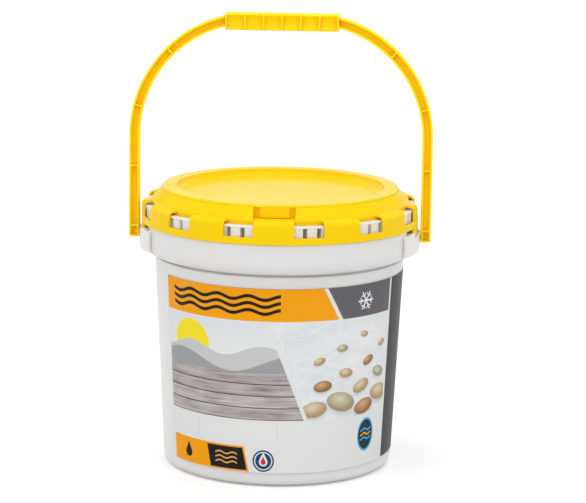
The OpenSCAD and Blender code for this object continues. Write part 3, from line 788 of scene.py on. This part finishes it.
tall = ellipse(arc, height, TALL_AT * MM_PER_DEGREE, TALL_UP, TALL_HALF, TALL_SIDE, math.pi / 2.0)
printed = ink(SKY, tall.below(1.0, 0.05), printed)
printed = ink(DEEP, tall.below(0.87, 0.05), printed)
for middle, color in ((36.4, SKY), (40.4, ORANGE), (44.4, SKY)):
    wave = wave_line(46.8, 54.2, middle, swing=0.8, per_degree=1.3, thick=1.5)
    printed = ink(color, wave, printed)
print("badges of", 2.0 * ROUND_RADIUS, "and", 2.0 * TALL_HALF, "mm")

# %% [markdown]
# ## The film itself
# Under the ink it is a thin plastic with a dull gloss, so it takes the shared finish, with its
# painted shade in hollows and painted highlight on edges. Fine print dots and a few pale scuffs
# keep the large blocks from looking painted. They are mixed in at a few parts in a hundred,
# because from an arm's length they should hardly show.

# %% Ink on plastic
SCUFF_SCALE, SCUFF_STRETCH = 60.0, (1.0, 1.0, 0.4)
DOT_SCALE = 3000.0
SCUFF_GREY = (0.80, 0.80, 0.80)
BLACK = (0.0, 0.0, 0.0)
WORN_GREY = (0.5, 0.5, 0.5)
# Painted shade for the film's hollows and a painted highlight for its edges.
FILM_PAINTED_SHADE, FILM_EDGE_HIGHLIGHT = (0.30, 0.28, 0.26), (0.80, 0.80, 0.80)

coords = object_coords(tree)
scuff = noise(tree, stretched(tree, coords, SCUFF_STRETCH), SCUFF_SCALE, 6.0, 0.7).above(0.66, 0.1)
dots = noise(tree, coords, DOT_SCALE, 1.0).above(0.55, 0.3)
printed = mix(tree, scuff * 0.04, printed, SCUFF_GREY)
printed = mix(tree, dots * 0.025, printed, BLACK)
worn = mix(tree, 0.03, printed, WORN_GREY)
finish = place_finish(tree, shader, {"Painted Shade": FILM_PAINTED_SHADE, "Edge Highlight": FILM_EDGE_HIGHLIGHT},
                      {"Painted Shade Amount": 0.15, "Painted Shade Reach": 0.002, "Edge Highlight Amount": 0.2,
                       "Roughness": 0.42, "Grain": 0.05})
tree.links.new(printed, finish["Color"])
tree.links.new(worn, finish["Shade"])
plastic_shader(shader, specular=0.08, coat=0.02, depth=0.0, radius=(1.0, 1.0, 1.0), reach=0.001)
print("the film's material holds", len(tree.nodes), "nodes")

# %% [markdown]
# ## Materials on the pieces
# Each piece of the frame keeps its mesh and only gets a material in its first slot. A piece
# could carry several, but each real moulding is one plastic from one shot.

# %% Dress the pieces
FINISHES = {
    "bucket_shell": white,
    "foam_liner": foam,
    "label_wrap": film,
    "lid_ring": yellow_ring,
    "access_hatch": yellow_hatch,
    "bail_handle": yellow_bail,
}
for name, material in FINISHES.items():
    slots = nodes[name].data.materials
    slots.clear()
    slots.append(material)
    print(name, "wears", material.name)

# %% [markdown]
# ## Floor
# The bucket stands on a pale sweep. More light would turn the floor white and burn the
# bucket's own white out, so a faint glow that only the camera, mirrors and glass see lifts
# the floor to white, and the bucket's shadow stays on it.

# %% Pale floor
FLOOR_GLOW = 0.30
FLOOR_SIZE = 12.0
FLOOR_GREY = (0.74, 0.74, 0.74)


def seen_directly(tree):
    """1 for rays from the camera, from gloss and through glass, and 0 for bounced light."""
    rays = tree.nodes.new("ShaderNodeLightPath")
    total = Field(tree, rays.outputs["Is Camera Ray"])
    for name in ("Is Glossy Ray", "Is Transmission Ray"):
        total = total + Field(tree, rays.outputs[name])
    return total.limited()


bpy.ops.object.select_all(action="DESELECT")
bpy.ops.mesh.primitive_plane_add(size=FLOOR_SIZE, location=(0.0, 0.0, 0.0))
floor = bpy.context.object
floor.name = "floor"
pale, tree, shader = new_material("pale_floor", FLOOR_GREY)
shader.inputs["Base Color"].default_value = FLOOR_GREY + (1.0,)
shader.inputs["Roughness"].default_value = 0.7
shader.inputs["Emission Color"].default_value = (1.0, 1.0, 1.0, 1.0)
tree.links.new((seen_directly(tree) * FLOOR_GLOW).socket, shader.inputs["Emission Strength"])
floor.data.materials.append(pale)
print("floor glow towards the camera:", FLOOR_GLOW)

# %% [markdown]
# ## Light
# Three large soft lamps stand where a studio has its boxes: one in front and a little to the
# left, a weaker one on the right, and one overhead that lights the lid. Small lamps would
# draw hard spots on the gloss. The white world fills in the rest. Their level is plain: a
# colour renders about as it was typed.

# %% Soft lamps and a white world
WORLD_LEVEL = 0.95
BODY_MIDDLE = (0.0, 0.0, 0.18)
LID_MIDDLE = (0.0, 0.0, 0.2)


def soft_box(name, location, target, size, watts):
    bpy.ops.object.light_add(type="AREA", location=location)
    lamp = bpy.context.object
    lamp.name = name
    lamp.data.size = size
    lamp.data.energy = watts
    aim = Vector(target) - Vector(location)
    lamp.rotation_euler = aim.to_track_quat("-Z", "Y").to_euler()
    print(name, "lamp:", watts, "W from", round(aim.length, 2), "m")


soft_box("key", (-0.4, -2.2, 1.5), BODY_MIDDLE, size=1.2, watts=6.0)
soft_box("fill", (1.3, -1.6, 1.0), BODY_MIDDLE, size=1.4, watts=1.2)
soft_box("overhead", (0.0, -0.4, 2.0), LID_MIDDLE, size=1.3, watts=7.0)

world = bpy.data.worlds.new("studio")
world.use_nodes = True
tree = world.node_tree
background = tree.nodes["Background"]
background.inputs["Color"].default_value = (1.0, 1.0, 1.0, 1.0)
lift = seen_directly(tree) * (1.0 - WORLD_LEVEL) + WORLD_LEVEL
tree.links.new(lift.socket, background.inputs["Strength"])
scene.world = world
print("world level:", WORLD_LEVEL, "and 1 where it is seen")

# %% [markdown]
# ## Sizes
# Nothing was added to the object, so its pieces keep the sizes of the frame.
